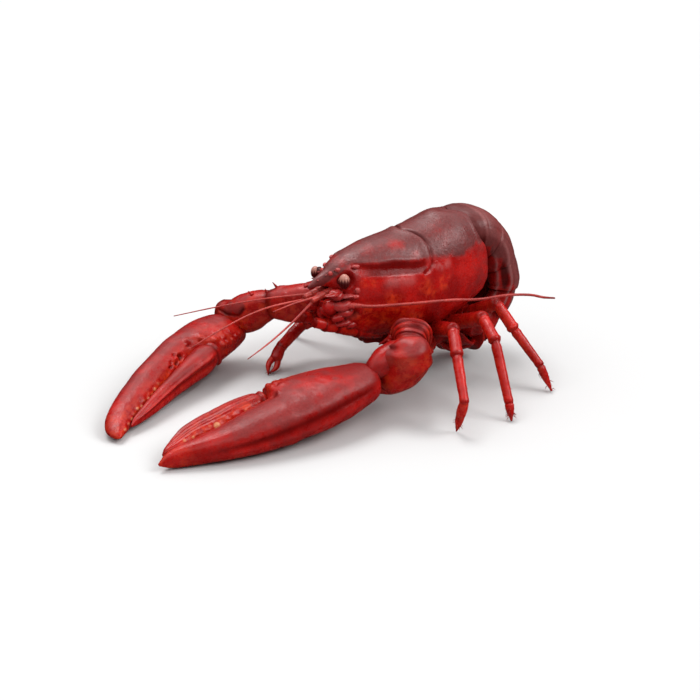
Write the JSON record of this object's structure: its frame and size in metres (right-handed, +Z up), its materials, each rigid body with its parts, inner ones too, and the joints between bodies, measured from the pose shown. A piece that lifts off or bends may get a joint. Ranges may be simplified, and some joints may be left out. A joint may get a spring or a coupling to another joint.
{
  "type": "cooked lobster",
  "caption": "Whole cooked lobster lying on its belly with its tail curled under, large claws reaching forward and feelers out.",
  "frame": {"origin": "on the resting surface, under the middle of the lobster's bounding box", "axes": "+Z up from the resting surface, the head and claws point to -Y, the animal's left side is +X"},
  "size_m": [0.2048, 0.3024, 0.1117],
  "materials": {
    "shell": "dark red-brown boiled shell, satin to glossy, finely grained",
    "tail": "dark brown-red boiled shell, glossy",
    "claw": "rose-red boiled shell with brownish bloom, satin",
    "leg": "bright red boiled shell, satin",
    "whip": "thin ringed feeler, dull red-brown",
    "mouth": "dark red mouth parts and feeler bases, satin",
    "eye": "boiled eye with a pale pink cap and a dark lower half"
  },
  "bodies": {
    "root": {"carapace": "shell", "tail_ring_1": "tail", "tail_ring_2": "tail", "tail_ring_3": "tail", "tail_ring_4": "tail", "tail_ring_5": "tail", "tail_ring_6": "tail", "telson": "tail", "inner_paddle_left": "tail", "outer_paddle_left": "tail", "eye_left": "eye", "antenna_base_left": "mouth", "antenna_scale_left": "mouth", "mouth_leg_left": "mouth", "antenna_left": "whip", "antennule_left_upper": "whip", "antennule_left_lower": "whip", "claw_palm_left": "claw", "claw_finger_left": "claw", "wrist_left": "claw", "upper_arm_left": "claw", "shoulder_left": "claw", "upper_leg_left_1": "leg", "lower_leg_left_1": "leg", "foot_left_1": "leg", "upper_leg_left_2": "leg", "lower_leg_left_2": "leg", "foot_left_2": "leg", "upper_leg_left_3": "leg", "lower_leg_left_3": "leg", "foot_left_3": "leg", "upper_leg_left_4": "leg", "lower_leg_left_4": "leg", "foot_left_4": "leg", "inner_paddle_right": "tail", "outer_paddle_right": "tail", "eye_right": "eye", "antenna_base_right": "mouth", "antenna_scale_right": "mouth", "mouth_leg_right": "mouth", "antenna_right": "whip", "antennule_right_upper": "whip", "antennule_right_lower": "whip", "claw_palm_right": "claw", "claw_finger_right": "claw", "wrist_right": "claw", "upper_arm_right": "claw", "shoulder_right": "claw", "upper_leg_right_1": "leg", "lower_leg_right_1": "leg", "foot_right_1": "leg", "upper_leg_right_2": "leg", "lower_leg_right_2": "leg", "foot_right_2": "leg", "upper_leg_right_3": "leg", "lower_leg_right_3": "leg", "foot_right_3": "leg", "upper_leg_right_4": "leg", "lower_leg_right_4": "leg", "foot_right_4": "leg"}
  },
  "joints": []
}
